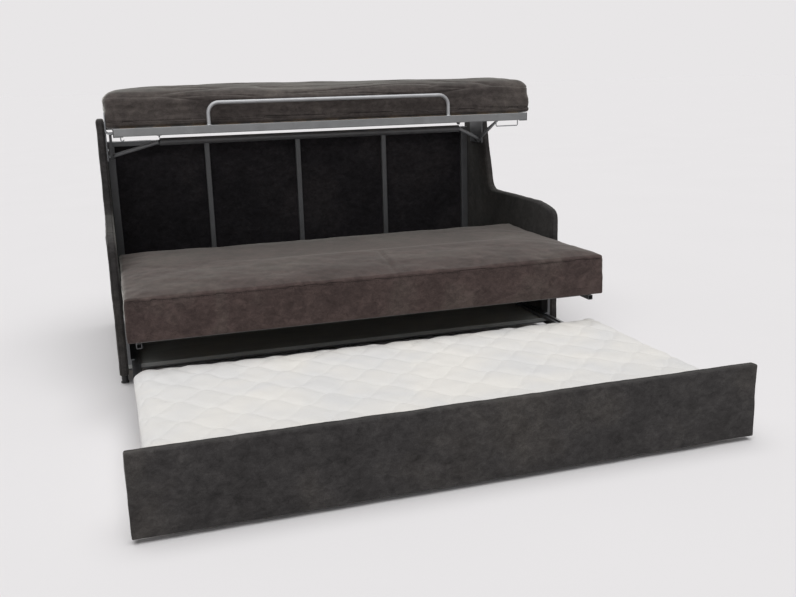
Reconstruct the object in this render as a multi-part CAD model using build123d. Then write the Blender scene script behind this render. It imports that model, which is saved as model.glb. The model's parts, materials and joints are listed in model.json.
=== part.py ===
from build123d import *
import math
import os

# Three bed sofa bed: a bunk that folds down to be the backrest, a seat that slides forward,
# and a trundle bed that rolls out from under the seat. Shown fully opened.
# Millimetres, +Z up, +Y towards the back, +X to the right of someone facing the back.
# The origin is on the floor, in the middle of the opened object's box.

# Overall sizes
overall_width = 1980.0
carcass_depth = 1060.0
trundle_reach = 1345.0
front_thickness = 35.0
total_depth = front_thickness + trundle_reach + carcass_depth
front_y = -total_depth / 2
rear_y = total_depth / 2
carcass_front = front_y + front_thickness + trundle_reach

# Clearances
fit_gap = 0.3
slide_gap = 0.4
pin_gap = 0.05
overrun = 2.0

# Feet
foot_height = 40.0
foot_radius = 13.0
foot_inset_y = 45.0
foot_pad_height = 6.0
foot_pad_radius = 16.0

# Side panels, each a board in a padded cover
panel_thickness = 36.0
padding = 9.0
arm_height = 614.0
nose_drop = 68.3
nose_back = 34.0
brow_drop = 23.0
brow_back = 192.0
wing_foot_back = 667.0
wing_hollow_radius = 70.0
wing_lean = 15.7
wing_height = 1040.0
wing_front_round = 25.0
wing_rear_round = 14.0
panel_edge_round = 8.0
inner_half = overall_width / 2 - panel_thickness

# Back
back_top = 926.0
back_cover_thickness = 28.0
back_core_thickness = 12.0
back_edge_round = 7.0
upright_width = 25.0
upright_depth = 24.0
upright_wall = 2.0
upright_spacing = 468.0
post_width = 36.0
post_side_gap = 2.0
bottom_rail_height = 24.0
tube_round = 3.0

# Bottom board and what carries it
board_top = 85.0
board_thickness = 16.0
board_setback = 4.0
batten_width = 20.0
batten_height = 24.0
batten_front = 90.0
batten_rear_gap = 60.0
stretcher_setback = 60.0
stretcher_depth = 25.0

# Front posts that carry the seat tracks
front_post_width = 12.0
front_post_depth = 62.0

# Trundle
trundle_front_bottom = 15.0
trundle_front_height = 247.0
trundle_front_round = 7.0
trundle_core_inset = 8.0
closing_gap = 0.5
trundle_mattress_side_gap = 13.0
trundle_mattress_edge = 85.7
trundle_mattress_crown = 7.0
trundle_mattress_depth = 923.0
trundle_mattress_corner = 60.0
trundle_mattress_round = 18.0
trundle_mattress_bulge = 4.0
trundle_frame_low = 88.0
trundle_frame_height = 20.0
trundle_tube_width = 20.0
trundle_frame_depth = 914.0
trundle_slat_count = 12
trundle_slat_width = 62.0
trundle_slat_thickness = 8.0

# Trundle runners, three nested rails on each side
runner_wall = 2.0
runner_outer_width = 16.0
runner_inner_width = 12.0
runner_total_width = 40.0
runner_height = 22.0
runner_inner_height = 18.0
runner_web_height = 6.0
runner_end_gap = 4.0
runner_rear_gap = 96.0
runner_inner_end_gap = 5.0
runner_share = 0.5

# Trundle wheels
wheel_radius = 25.0
wheel_width = 20.0
wheel_inset = 230.0
wheel_bore = 4.0
tyre_thickness = 5.0
wheel_clear = 6.0
fork_wall = 3.0
fork_side_gap = 1.0
fork_top = 61.0
fork_plate_low = 22.0
fork_cheek_radius = 12.0
axle_head_radius = 7.0
axle_head_length = 3.0

# Seat
seat_out = 479.0
seat_side_gap = 9.0
seat_depth = 925.0
seat_bottom = 304.0
seat_edge = 162.0
seat_crown = 13.0
seat_edge_round = 9.0
seat_corner_round = 16.0
seat_bulge = 5.0
seat_slat_thickness = 9.0
seat_slat_width = 68.0
seat_slat_count = 12
seat_tube = 20.0
seat_rail_side_gap = 34.0
seat_frame_setback = 36.0
seat_slat_setback = 74.0
seat_frame_rear_gap = 6.0

# Seat tracks and rollers
track_width = 24.0
track_height = 26.0
track_wall = 2.5
track_rear_gap = 70.0
front_roller_radius = 12.0
front_roller_width = 14.0
front_roller_back = 48.0
rear_roller_width = 15.0
rear_roller_back = 20.0
roller_pin_radius = 4.0
roller_side_gap = 1.5
roller_seat_gap = 0.1

# Upper bunk
bunk_rear_gap = 108.0
bunk_side_gap = 34.0
bunk_depth = 700.0
bunk_rail_bottom = 991.0
bunk_rail_height = 33.0
bunk_rail_width = 20.0
bunk_slat_count = 13
bunk_slat_width = 60.0
bunk_slat_thickness = 12.0
bunk_slat_gap = 2.0
slat_holder_depth = 26.0
slat_holder_margin = 4.0
slat_holder_thickness = 6.0
cross_tube_width = 20.0
bunk_mattress_side_gap = 8.0
bunk_mattress_setback = 20.0
bunk_mattress_rear = 18.0
bunk_mattress_edge = 122.0
bunk_mattress_crown = 34.0
bunk_mattress_round = 36.0
bunk_mattress_corner = 44.0
bunk_mattress_bulge = 6.0
end_cap_length = 3.0
end_plug_length = 30.0

# Bunk hinge
hinge_back = 540.0
hinge_pin_radius = 6.0
hinge_spacer_radius = 10.0
pin_cap_thickness = 4.0
pin_cap_radius = 9.0

# Stay arms under the bunk
stay_pivot_behind = 77.0
stay_pivot_drop = 124.0
stay_tube_setback = 360.0
stay_tube_gap = 2.5
stay_tube_radius = 16.5
stay_tube_wall = 2.0
stay_tube_inset = 198.0
stay_arm_side_gap = 22.0
stay_arm_thickness = 12.0
stay_arm_height = 24.0
stay_arm_top_setback = 336.0
stay_pad_height = 6.0
stay_pad_length = 24.0
stay_brace_radius = 9.0
stay_eye_radius = 15.0
lug_width = 30.0
lug_thickness = 5.0
lug_drop = 28.0
lug_pin_radius = 5.0
lug_pin_length = 22.0
lug_pin_drop = 15.0

# Pivot brackets on the side panels
bracket_thickness = 6.0
bracket_boss_radius = 20.0
bracket_reach = 220.0
bracket_low_drop = 18.0
bolt_head_radius = 7.0
bolt_head_height = 4.0
bolt_inset = 22.0

# Guard rail and wire fittings on the bunk
guard_radius = 8.0
guard_half = 535.0
guard_rise = 92.0
guard_bend = 45.0
guard_joint = 2.0
guard_foot_radius = 13.0
guard_foot_height = 4.0
wire_radius = 2.4
stop_side_gap = 4.2
stop_rise = 62.0
stop_drop = 12.0
stop_span = 105.0
stop_bend = 12.0
ladder_hook_inset = 41.0
ladder_hook_span = 108.0
ladder_hook_drop = 24.0
ladder_hook_bend = 6.0
small_hook_inset = 26.0
small_hook_drop = 12.0
small_hook_radius = 6.0
corner_plate = 40.0
corner_plate_thickness = 3.0

# Levels and places worked out from the sizes above
board_bottom = board_top - board_thickness
frame_rail_bottom = board_bottom - bottom_rail_height
upright_back_face = rear_y - back_cover_thickness
upright_front_face = upright_back_face - upright_depth
runner_length = carcass_depth - runner_end_gap - runner_rear_gap
runner_inner_length = trundle_frame_depth - runner_end_gap - runner_inner_end_gap
runner_outer_x = inner_half - front_post_width
runner_inner_x = runner_outer_x - runner_total_width
trundle_back_face = front_y + front_thickness
trundle_travel = trundle_reach - closing_gap
trundle_frame_top = trundle_frame_low + trundle_frame_height
trundle_mattress_low = trundle_frame_top + fit_gap
trundle_mattress_top = trundle_mattress_low + trundle_mattress_edge
trundle_mattress_half = inner_half - trundle_mattress_side_gap
wheel_x = overall_width / 2 - wheel_inset
seat_front = carcass_front - seat_out
seat_rear = seat_front + seat_depth
seat_half = inner_half - seat_side_gap
seat_edge_top = seat_bottom + seat_edge
seat_slat_top = seat_bottom - fit_gap
seat_slat_bottom = seat_slat_top - seat_slat_thickness
seat_rail_top = seat_slat_bottom
seat_rail_bottom = seat_rail_top - seat_tube
seat_rail_x = inner_half - seat_rail_side_gap
track_mid = (seat_rail_top + seat_rail_bottom) / 2
track_bottom = track_mid - track_height / 2
track_inner_x = inner_half - track_width
track_front = carcass_front + board_setback
track_rear = rear_y - track_rear_gap
front_roller_y = carcass_front + front_roller_back
front_roller_z = seat_rail_bottom - roller_seat_gap - front_roller_radius
front_roller_x = seat_rail_x - seat_tube / 2
rear_roller_y = seat_rear - seat_frame_rear_gap - rear_roller_back
rear_roller_radius = track_height / 2 - track_wall - roller_seat_gap
rear_roller_x = inner_half - track_wall - roller_side_gap - rear_roller_width / 2
bunk_half = inner_half - bunk_side_gap
bunk_rear = upright_front_face - bunk_rear_gap
bunk_front = bunk_rear - bunk_depth
bunk_rail_top = bunk_rail_bottom + bunk_rail_height
bunk_mattress_half = inner_half - bunk_mattress_side_gap
bunk_mattress_edge_top = bunk_rail_top + bunk_mattress_edge
hinge_y = bunk_front + hinge_back
hinge_z = bunk_rail_bottom + bunk_rail_height / 2
stay_pivot_y = hinge_y + stay_pivot_behind
stay_pivot_height = bunk_rail_bottom - stay_pivot_drop
stay_tube_y = bunk_front + stay_tube_setback
stay_tube_height = bunk_rail_bottom - lug_drop - stay_tube_gap - stay_tube_radius
stay_tube_half = bunk_half - stay_tube_inset
stay_arm_x = inner_half - stay_arm_side_gap
stay_arm_top_y = bunk_front + stay_arm_top_setback
guard_y = bunk_front + bunk_rail_width / 2


def block(x0, x1, y0, y1, z0, z1):
    """A box between two corners."""
    corner = (Align.MIN, Align.MIN, Align.MIN)
    return Pos(x0, y0, z0) * Box(x1 - x0, y1 - y0, z1 - z0, align=corner)


def rod_x(x0, x1, y, z, radius):
    """A round bar along X."""
    middle = (x0 + x1) / 2
    return Pos(middle, y, z) * Rot(0, 90, 0) * Cylinder(radius, abs(x1 - x0))


def rod_z(x, y, z0, z1, radius):
    """A round bar along Z."""
    return Pos(x, y, (z0 + z1) / 2) * Cylinder(radius, z1 - z0)


def tube_block(x0, x1, y0, y1, z0, z1, along, wall=upright_wall):
    """A square tube with rounded corners, hollow along one axis."""
    outer = block(x0, x1, y0, y1, z0, z1)
    outer = fillet(outer.edges().filter_by(along), tube_round)
    grow = {Axis.X: (overrun, 0, 0), Axis.Y: (0, overrun, 0), Axis.Z: (0, 0, overrun)}[along]
    shrink = [0 if step else wall for step in grow]
    inner = block(
        x0 + shrink[0] - grow[0], x1 - shrink[0] + grow[0],
        y0 + shrink[1] - grow[1], y1 - shrink[1] + grow[1],
        z0 + shrink[2] - grow[2], z1 - shrink[2] + grow[2],
    )
    return outer - inner


def mirrored(shape):
    """The same piece on the other side of the middle plane."""
    return shape.mirror(Plane.YZ)


def save(name, *shapes):
    """Write one node, as one solid or a group of separate solids."""
    solids = [solid for shape in shapes for solid in shape.solids()]
    whole = solids[0] if len(solids) == 1 else Compound(children=solids)
    export_step(whole, f"parts/{name}.step")


def save_sides(name, shape):
    """Write a right piece and its mirror image on the left as two nodes."""
    save(f"{name}_right", shape)
    save(f"{name}_left", mirrored(shape))


def save_pair(name, shape):
    """Write a right piece and its mirror image on the left as one node of separate solids."""
    save(name, shape, mirrored(shape))


def side_profile(inset):
    """Arm and wing outline in the YZ plane, drawn in by an inset on every side but the bottom."""
    front = carcass_front + inset
    top = arm_height - inset
    rear = rear_y - inset
    roof = wing_height - inset
    lean = math.radians(wing_lean)
    hollow = wing_hollow_radius + inset
    turn = math.radians(90 - wing_lean)
    nose_low = (front, arm_height - nose_drop)
    nose_high = (carcass_front + nose_back + inset / 2, top - brow_drop)
    brow = (carcass_front + brow_back, top)
    wing_foot = (carcass_front + wing_foot_back, top)
    hollow_end = (
        wing_foot[0] + hollow * math.sin(turn),
        wing_foot[1] + hollow * (1 - math.cos(turn)),
    )
    wing_top = (hollow_end[0] + (roof - hollow_end[1]) * math.tan(lean), roof)
    nose = TangentArc(nose_low, nose_high, tangent=(0, 1))
    edges = [
        Line((front, foot_height), nose_low),
        nose,
        TangentArc(nose_high, brow, tangent=nose % 1),
        Line(brow, wing_foot),
        TangentArc(wing_foot, hollow_end, tangent=(1, 0)),
        Line(hollow_end, wing_top),
        Line(wing_top, (rear, roof)),
        Line((rear, roof), (rear, foot_height)),
        Line((rear, foot_height), (front, foot_height)),
    ]
    face = make_face(Curve() + edges)
    sharp = face.vertices().filter_by(lambda v: v.Y > roof - padding / 2).sort_by(Axis.X)
    face = fillet(sharp[0], wing_front_round - inset / 2)
    sharp = face.vertices().filter_by(lambda v: v.Y > roof - padding / 2).sort_by(Axis.X)
    return fillet(sharp[-1], wing_rear_round - inset / 2)


def side_plate(inset, x_low, x_high):
    """The side outline as a plate between two X planes."""
    outline = Plane.YZ.offset(x_low) * side_profile(inset)
    return extrude(outline, x_high - x_low)


def side_panels():
    """Padded covers over plywood cores, left and right."""
    cover = side_plate(0, inner_half, overall_width / 2)
    rims = [
        edge for edge in cover.edges()
        if edge.center().Z > foot_height + overrun
        and (abs(edge.center().X - inner_half) < fit_gap
             or abs(edge.center().X - overall_width / 2) < fit_gap)
    ]
    cover = fillet(rims, panel_edge_round)
    core = side_plate(padding, inner_half + padding, overall_width / 2 - padding)
    save_sides("side_cover", cover - core)
    save_sides("side_core", core)


def feet():
    """Five glides, four under the side panels and one under the front stretcher."""
    def foot(x, y, top):
        stem = rod_z(x, y, foot_pad_height, top, foot_radius)
        pad = rod_z(x, y, 0, foot_pad_height, foot_pad_radius)
        return stem + pad
    x = overall_width / 2 - panel_thickness / 2
    places = [carcass_front + foot_inset_y, rear_y - foot_inset_y]
    right = [foot(x, y, foot_height) for y in places]
    middle_y = carcass_front + stretcher_setback + stretcher_depth / 2
    centre = foot(0, middle_y, frame_rail_bottom)
    save("feet", centre, *right, *[mirrored(item) for item in right])


def back():
    """Padded back panel with its board, and the steel back frame in front of it."""
    side = inner_half - fit_gap
    cover = block(-side, side, upright_back_face, rear_y, foot_height, back_top)
    cover = fillet(cover.edges().filter_by(Axis.X), back_edge_round)
    middle = (upright_back_face + rear_y) / 2
    half = back_core_thickness / 2
    core = block(
        -side + padding, side - padding, middle - half, middle + half,
        foot_height + padding, back_top - padding,
    )
    save("back_cover", cover - core)
    save("back_core", core)
    low, high = frame_rail_bottom, back_top
    post_outer = inner_half - post_side_gap
    post_inner = post_outer - post_width
    rail_low = low + bottom_rail_height
    rail_high = high - upright_depth
    post = tube_block(
        post_inner, post_outer, upright_front_face, upright_back_face, low, rail_high, Axis.Z
    )
    save_pair("back_posts", post)
    half = upright_width / 2
    uprights = [
        tube_block(
            x - half, x + half, upright_front_face, upright_back_face,
            rail_low, rail_high, Axis.Z,
        )
        for x in (-upright_spacing, 0, upright_spacing)
    ]
    save("back_uprights", *uprights)
    top = tube_block(
        -post_outer, post_outer, upright_front_face, upright_back_face,
        rail_high, high, Axis.X,
    )
    bottom = tube_block(
        -post_inner, post_inner, upright_front_face, upright_back_face, low, rail_low, Axis.X
    )
    save("back_top_rail", top)
    save("back_bottom_rail", bottom)


def bottom_board():
    """Board between the side panels, on a front stretcher, side battens and the back rail."""
    board = block(
        -inner_half + fit_gap, inner_half - fit_gap, track_front, upright_front_face,
        board_bottom, board_top,
    )
    save("bottom_board", board)
    stretcher_y = carcass_front + stretcher_setback
    stretcher = tube_block(
        -inner_half + fit_gap, inner_half - fit_gap, stretcher_y, stretcher_y + stretcher_depth,
        frame_rail_bottom, board_bottom, Axis.X,
    )
    save("front_stretcher", stretcher)
    batten = block(
        inner_half - batten_width, inner_half, carcass_front + batten_front,
        rear_y - batten_rear_gap, board_bottom - batten_height, board_bottom,
    )
    save_pair("board_battens", batten)


def seat_tracks():
    """Steel channels on the side panels, on posts at the front."""
    channel = block(
        track_inner_x, inner_half, track_front, track_rear,
        track_bottom, track_bottom + track_height,
    )
    hollow = block(
        track_inner_x - overrun, inner_half - track_wall, track_front - overrun,
        track_rear - track_wall, track_bottom + track_wall,
        track_bottom + track_height - track_wall,
    )
    save_pair("seat_tracks", channel - hollow)
    post = block(
        inner_half - front_post_width, inner_half, track_front, track_front + front_post_depth,
        board_top, track_bottom,
    )
    pin = rod_x(
        front_roller_x - front_roller_width / 2 - roller_side_gap, inner_half - front_post_width,
        front_roller_y, front_roller_z, roller_pin_radius,
    )
    save_pair("front_posts", post + pin)
    bore = roller_pin_radius + pin_gap
    roller = rod_x(
        front_roller_x - front_roller_width / 2, front_roller_x + front_roller_width / 2,
        front_roller_y, front_roller_z, front_roller_radius,
    )
    hole = rod_x(
        front_roller_x - front_roller_width, front_roller_x + front_roller_width,
        front_roller_y, front_roller_z, bore,
    )
    save_sides("seat_front_roller", roller - hole)


def soft_section(x, y0, y1, z0, edge_top, crown, bulge):
    """Cross section of a cushion at one X: flat bottom, bulging sides and a crowned top."""
    middle = (y0 + y1) / 2
    middle_z = (z0 + edge_top) / 2
    points = [(x, y0, z0), (x, y0, edge_top), (x, y1, edge_top), (x, y1, z0)]
    edges = [
        ThreePointArc(points[0], (x, y0 - bulge, middle_z), points[1]),
        ThreePointArc(points[1], (x, middle, edge_top + crown), points[2]),
        ThreePointArc(points[2], (x, y1 + bulge, middle_z), points[3]),
        Line(points[3], points[0]),
    ]
    return make_face(Wire(edges))


def cushion(half, y0, y1, z0, edge_top, crown, bulge, corner, edge):
    """A crowned cushion: sides drawn in towards the middle, corners and top edges rounded."""
    draw = bulge
    lows = [y0 + bulge, y0 + bulge + draw, y0 + bulge]
    highs = [y1 - bulge, y1 - bulge - draw, y1 - bulge]
    crowns = [crown / 2, crown, crown / 2]
    sections = [
        soft_section(x, low, high, z0, edge_top, rise, bulge)
        for x, low, high, rise in zip((-half, 0, half), lows, highs, crowns)
    ]
    body = loft(sections)
    upright = [
        item for item in body.edges()
        if abs(abs(item.center().X) - half) < bulge and item.bounding_box().size.Y < 2 * bulge
    ]
    body = fillet(upright, corner)
    level = edge_top - bulge
    rims = [item for item in body.edges() if item.bounding_box().min.Z > level]
    return fillet(rims, edge)


def seat():
    """Sliding seat: steel frame, slats and the upholstered cushion."""
    shape = cushion(
        seat_half, seat_front, seat_rear, seat_bottom, seat_edge_top,
        seat_crown, seat_bulge, seat_corner_round, seat_edge_round,
    )
    save("seat_cushion", shape)
    y0 = seat_front + seat_frame_setback
    y1 = seat_rear - seat_frame_rear_gap
    outer = seat_rail_x
    inner = outer - seat_tube
    rail = tube_block(inner, outer, y0, y1, seat_rail_bottom, seat_rail_top, Axis.Y)
    pin = rod_x(
        outer, rear_roller_x + rear_roller_width / 2 + roller_side_gap / 2,
        rear_roller_y, track_mid, roller_pin_radius,
    )
    save_pair("seat_rails", rail + pin)
    front = y0 + seat_slat_setback
    cross_y = [front, (front + y1 - seat_tube) / 2, y1 - seat_tube]
    crosses = [
        tube_block(-inner, inner, y, y + seat_tube, seat_rail_bottom, seat_rail_top, Axis.X)
        for y in cross_y
    ]
    save("seat_cross_tubes", *crosses)
    step = 2 * (outer - seat_slat_width / 2) / (seat_slat_count - 1)
    slats = [
        block(x - seat_slat_width / 2, x + seat_slat_width / 2, front, y1,
              seat_slat_bottom, seat_slat_top)
        for x in (seat_slat_width / 2 - outer + step * index for index in range(seat_slat_count))
    ]
    save("seat_slats", *slats)
    half = rear_roller_width / 2
    roller = rod_x(
        rear_roller_x - half, rear_roller_x + half, rear_roller_y, track_mid, rear_roller_radius
    )
    hole = rod_x(
        rear_roller_x - rear_roller_width, rear_roller_x + rear_roller_width,
        rear_roller_y, track_mid, roller_pin_radius + pin_gap,
    )
    save_sides("seat_rear_roller", roller - hole)


def trundle():
    """Trundle bed: padded front on a board, tube frame, slats and mattress."""
    side = overall_width / 2
    top = trundle_front_bottom + trundle_front_height
    cover = block(-side, side, front_y, trundle_back_face, trundle_front_bottom, top)
    cover = fillet(cover.edges(), trundle_front_round)
    core = block(
        -side + trundle_core_inset, side - trundle_core_inset,
        front_y + trundle_core_inset, trundle_back_face - trundle_core_inset,
        trundle_front_bottom + trundle_core_inset, top - trundle_core_inset,
    )
    save("trundle_front_cover", cover - core)
    save("trundle_front_core", core)
    y0 = trundle_back_face
    y1 = y0 + trundle_frame_depth
    low, high = trundle_frame_low, trundle_frame_top
    outer = runner_inner_x
    inner = outer - trundle_tube_width
    side_tube = tube_block(inner, outer, y0, y1, low, high, Axis.Y)
    save_pair("trundle_side_tubes", side_tube)
    cross_y = [y0, (y0 + y1 - trundle_tube_width) / 2, y1 - trundle_tube_width]
    slat_low = high - trundle_slat_thickness
    crosses = [
        tube_block(-inner, inner, y, y + trundle_tube_width, low, slat_low, Axis.X, runner_wall)
        for y in cross_y
    ]
    save("trundle_cross_tubes", *crosses)
    step = 2 * (inner - trundle_slat_width / 2) / (trundle_slat_count - 1)
    start = trundle_slat_width / 2 - inner
    slats = [
        block(x - trundle_slat_width / 2, x + trundle_slat_width / 2, y0 + fit_gap, y1,
              slat_low, high)
        for x in (start + step * index for index in range(trundle_slat_count))
    ]
    save("trundle_slats", *slats)
    mattress = cushion(
        trundle_mattress_half, trundle_back_face + fit_gap + trundle_mattress_bulge,
        trundle_back_face + trundle_mattress_depth, trundle_mattress_low,
        trundle_mattress_top, trundle_mattress_crown, trundle_mattress_bulge,
        trundle_mattress_corner, trundle_mattress_round,
    )
    save("trundle_mattress", mattress)


def runner_channel(outer_x, inner_x, y0, y1, low, high):
    """A channel rail whose web is at outer_x and whose mouth faces inner_x."""
    side = 1 if outer_x > inner_x else -1
    body = block(min(outer_x, inner_x), max(outer_x, inner_x), y0, y1, low, high)
    web = outer_x - side * runner_wall
    mouth = inner_x - side * overrun
    hollow = block(
        min(web, mouth), max(web, mouth), y0 - overrun, y1 + overrun,
        low + runner_wall, high - runner_wall,
    )
    return body - hollow


def trundle_runners():
    """Three part runners: a fixed channel, a middle rail and a channel on the trundle."""
    low = board_top
    high = low + runner_height
    middle = (low + high) / 2
    fixed_front = carcass_front + runner_end_gap
    fixed = runner_channel(
        runner_outer_x, runner_outer_x - runner_outer_width, fixed_front,
        fixed_front + runner_length, low, high,
    )
    save_pair("runner_fixed", fixed)
    inner_low = middle - runner_inner_height / 2
    inner_high = middle + runner_inner_height / 2
    inner = runner_channel(
        runner_inner_x, runner_inner_x + runner_inner_width, trundle_back_face + runner_end_gap,
        trundle_back_face + runner_end_gap + runner_inner_length, inner_low, inner_high,
    )
    save_pair("runner_inner", inner)
    start = fixed_front + runner_wall - trundle_travel * runner_share
    end = start + runner_length - 2 * runner_wall
    head_outer = block(
        runner_outer_x - runner_outer_width + runner_wall + slide_gap,
        runner_outer_x - runner_wall - slide_gap, start, end,
        low + runner_wall + slide_gap, high - runner_wall - slide_gap,
    )
    head_inner = block(
        runner_inner_x + runner_wall + slide_gap,
        runner_inner_x + runner_inner_width - runner_wall, start, end,
        inner_low + runner_wall + slide_gap, inner_high - runner_wall - slide_gap,
    )
    web = block(
        runner_inner_x + runner_inner_width - runner_wall,
        runner_outer_x - runner_outer_width + runner_wall + slide_gap,
        start, end, middle - runner_web_height / 2, middle + runner_web_height / 2,
    )
    save_pair("runner_middle", head_outer + web + head_inner)


def trundle_wheels():
    """Two floor wheels in forks on the back of the trundle front."""
    axle_y = trundle_back_face + wheel_clear + wheel_radius
    half = wheel_width / 2
    cheek_in = half + fork_side_gap
    cheek_out = cheek_in + fork_wall
    plate = block(
        wheel_x - cheek_out, wheel_x + cheek_out, trundle_back_face,
        trundle_back_face + fork_wall, fork_plate_low, fork_top,
    )
    fork = plate
    for side in (-1, 1):
        near, far = wheel_x + side * cheek_in, wheel_x + side * cheek_out
        x0, x1 = min(near, far), max(near, far)
        arm = block(
            x0, x1, trundle_back_face, axle_y,
            wheel_radius - fork_cheek_radius, wheel_radius + fork_cheek_radius,
        )
        riser = block(x0, x1, trundle_back_face, trundle_back_face + fork_cheek_radius,
                      fork_plate_low, fork_top)
        fork += arm + riser + rod_x(x0, x1, axle_y, wheel_radius, fork_cheek_radius)
    hole = rod_x(
        wheel_x - cheek_out - overrun, wheel_x + cheek_out + overrun, axle_y, wheel_radius,
        wheel_bore,
    )
    save_pair("wheel_forks", fork - hole)
    pin_radius = wheel_bore - pin_gap
    axle = rod_x(wheel_x - cheek_out, wheel_x + cheek_out, axle_y, wheel_radius, pin_radius)
    head = rod_x(
        wheel_x + cheek_out, wheel_x + cheek_out + axle_head_length, axle_y, wheel_radius,
        axle_head_radius,
    )
    axle += head
    save_pair("wheel_axles", axle)
    hub = rod_x(wheel_x - half, wheel_x + half, axle_y, wheel_radius,
                wheel_radius - tyre_thickness)
    tyre = rod_x(wheel_x - half, wheel_x + half, axle_y, wheel_radius, wheel_radius) - hub
    tyre = fillet(tyre.edges().filter_by(GeomType.CIRCLE).sort_by(
        lambda edge: edge.radius)[-2:], tyre_thickness / 2)
    hub -= rod_x(wheel_x - wheel_width, wheel_x + wheel_width, axle_y, wheel_radius, wheel_bore)
    save_sides("wheel_hub", hub)
    save_sides("wheel_tyre", tyre)


def bunk():
    """Upper bunk: steel frame, slats in holders, mattress, guard rail and wire fittings."""
    low, high = bunk_rail_bottom, bunk_rail_top
    width = bunk_rail_width
    half = bunk_half
    front = tube_block(-half, half, bunk_front, bunk_front + width, low, high, Axis.X)
    save("bunk_front_rail", front)
    rear = tube_block(-half, half, bunk_rear - width, bunk_rear, low, high, Axis.X)
    save("bunk_rear_rail", rear)
    end = tube_block(
        half - width, half, bunk_front + width, bunk_rear - width, low, high, Axis.Y
    )
    bore = rod_x(
        half - width - overrun, half + overrun, hinge_y, hinge_z, hinge_pin_radius + pin_gap
    )
    save_pair("bunk_end_rails", end - bore)
    inset = upright_wall + slide_gap
    caps = []
    for y in (bunk_front, bunk_rear - width):
        cap = block(half, half + end_cap_length, y, y + width, low, high)
        plug = block(
            half - end_plug_length, half, y + inset, y + width - inset,
            low + inset, high - inset,
        )
        caps.append(cap + plug)
    save("rail_end_caps", *caps, *[mirrored(cap) for cap in caps])
    slats_and_holders(high, width, half)
    lugs(low)
    guard_rail(high)
    wire_fittings(low, high, half)
    mattress = cushion(
        bunk_mattress_half, bunk_front + bunk_mattress_setback,
        bunk_rear - bunk_mattress_rear, high + fit_gap, bunk_mattress_edge_top,
        bunk_mattress_crown, bunk_mattress_bulge, bunk_mattress_corner, bunk_mattress_round,
    )
    save("bunk_mattress", mattress)


def slats_and_holders(high, width, half):
    """Slats from front to rear, each end in a moulded holder on the rail."""
    y0 = bunk_front + width + bunk_slat_gap
    y1 = bunk_rear - width - bunk_slat_gap
    slat_low = high - bunk_slat_thickness
    room = half - width - slat_holder_margin - bunk_slat_width / 2 - slat_holder_margin
    step = 2 * room / (bunk_slat_count - 1)
    middles = [step * index - room for index in range(bunk_slat_count)]
    slats = [
        block(x - bunk_slat_width / 2, x + bunk_slat_width / 2, y0, y1, slat_low, high)
        for x in middles
    ]
    save("bunk_slats", *slats)
    reach = bunk_slat_width / 2 + slat_holder_margin
    holders = []
    for x in middles:
        for wall, inward in ((bunk_front + width, 1), (bunk_rear - width, -1)):
            tip = wall + inward * slat_holder_depth
            step_y = wall + inward * (bunk_slat_gap - fit_gap)
            shelf = block(
                x - reach, x + reach, min(wall, tip), max(wall, tip),
                slat_low - slat_holder_thickness, slat_low,
            )
            lip = block(
                x - reach, x + reach, min(wall, step_y), max(wall, step_y), slat_low, high
            )
            holders.append(shelf + lip)
    save("slat_holders", *holders)


def lugs(low):
    """Cross tubes under the slats, each with a pinned lug above the stay tube."""
    y0 = bunk_front + bunk_rail_width
    y1 = bunk_rear - bunk_rail_width
    half = cross_tube_width / 2
    top = bunk_rail_top - bunk_slat_thickness - slat_holder_thickness - fit_gap
    tube = tube_block(
        stay_tube_half - half, stay_tube_half + half, y0, y1, low, top, Axis.Y, runner_wall
    )
    save_pair("bunk_cross_tubes", tube)
    lug = block(
        stay_tube_half - lug_thickness / 2, stay_tube_half + lug_thickness / 2,
        stay_tube_y - lug_width / 2, stay_tube_y + lug_width / 2, low - lug_drop, low,
    )
    lug = fillet(lug.edges().filter_by(Axis.X).group_by(Axis.Z)[0], lug_width / 4)
    pin = rod_x(
        stay_tube_half - lug_pin_length / 2, stay_tube_half + lug_pin_length / 2,
        stay_tube_y, low - lug_pin_drop, lug_pin_radius,
    )
    lug += pin
    save_pair("stay_lugs", lug)


def guard_rail(high):
    """Guard on the front rail: two bent ends with flared feet and a straight tube between."""
    top = high + guard_rise
    joint = guard_half - guard_bend - guard_joint
    pieces = [rod_x(-joint, joint, guard_y, top, guard_radius)]
    for side in (-1, 1):
        points = [
            (side * guard_half, guard_y, high), (side * guard_half, guard_y, top),
            (side * joint, guard_y, top),
        ]
        path = FilletPolyline(*points, radius=guard_bend)
        bend = sweep((path ^ 0) * Circle(guard_radius), path)
        foot = Pos(side * guard_half, guard_y, high) * Cone(
            guard_foot_radius - guard_foot_height / 2, guard_radius, guard_foot_height,
            align=(Align.CENTER, Align.CENTER, Align.MIN),
        )
        pieces.append(bend + foot)
    save("guard_rail", *pieces)


def bent_wire(points, radius):
    """A round wire along straight runs joined by arcs."""
    path = FilletPolyline(*points, radius=radius)
    return sweep((path ^ 0) * Circle(wire_radius), path)


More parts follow.
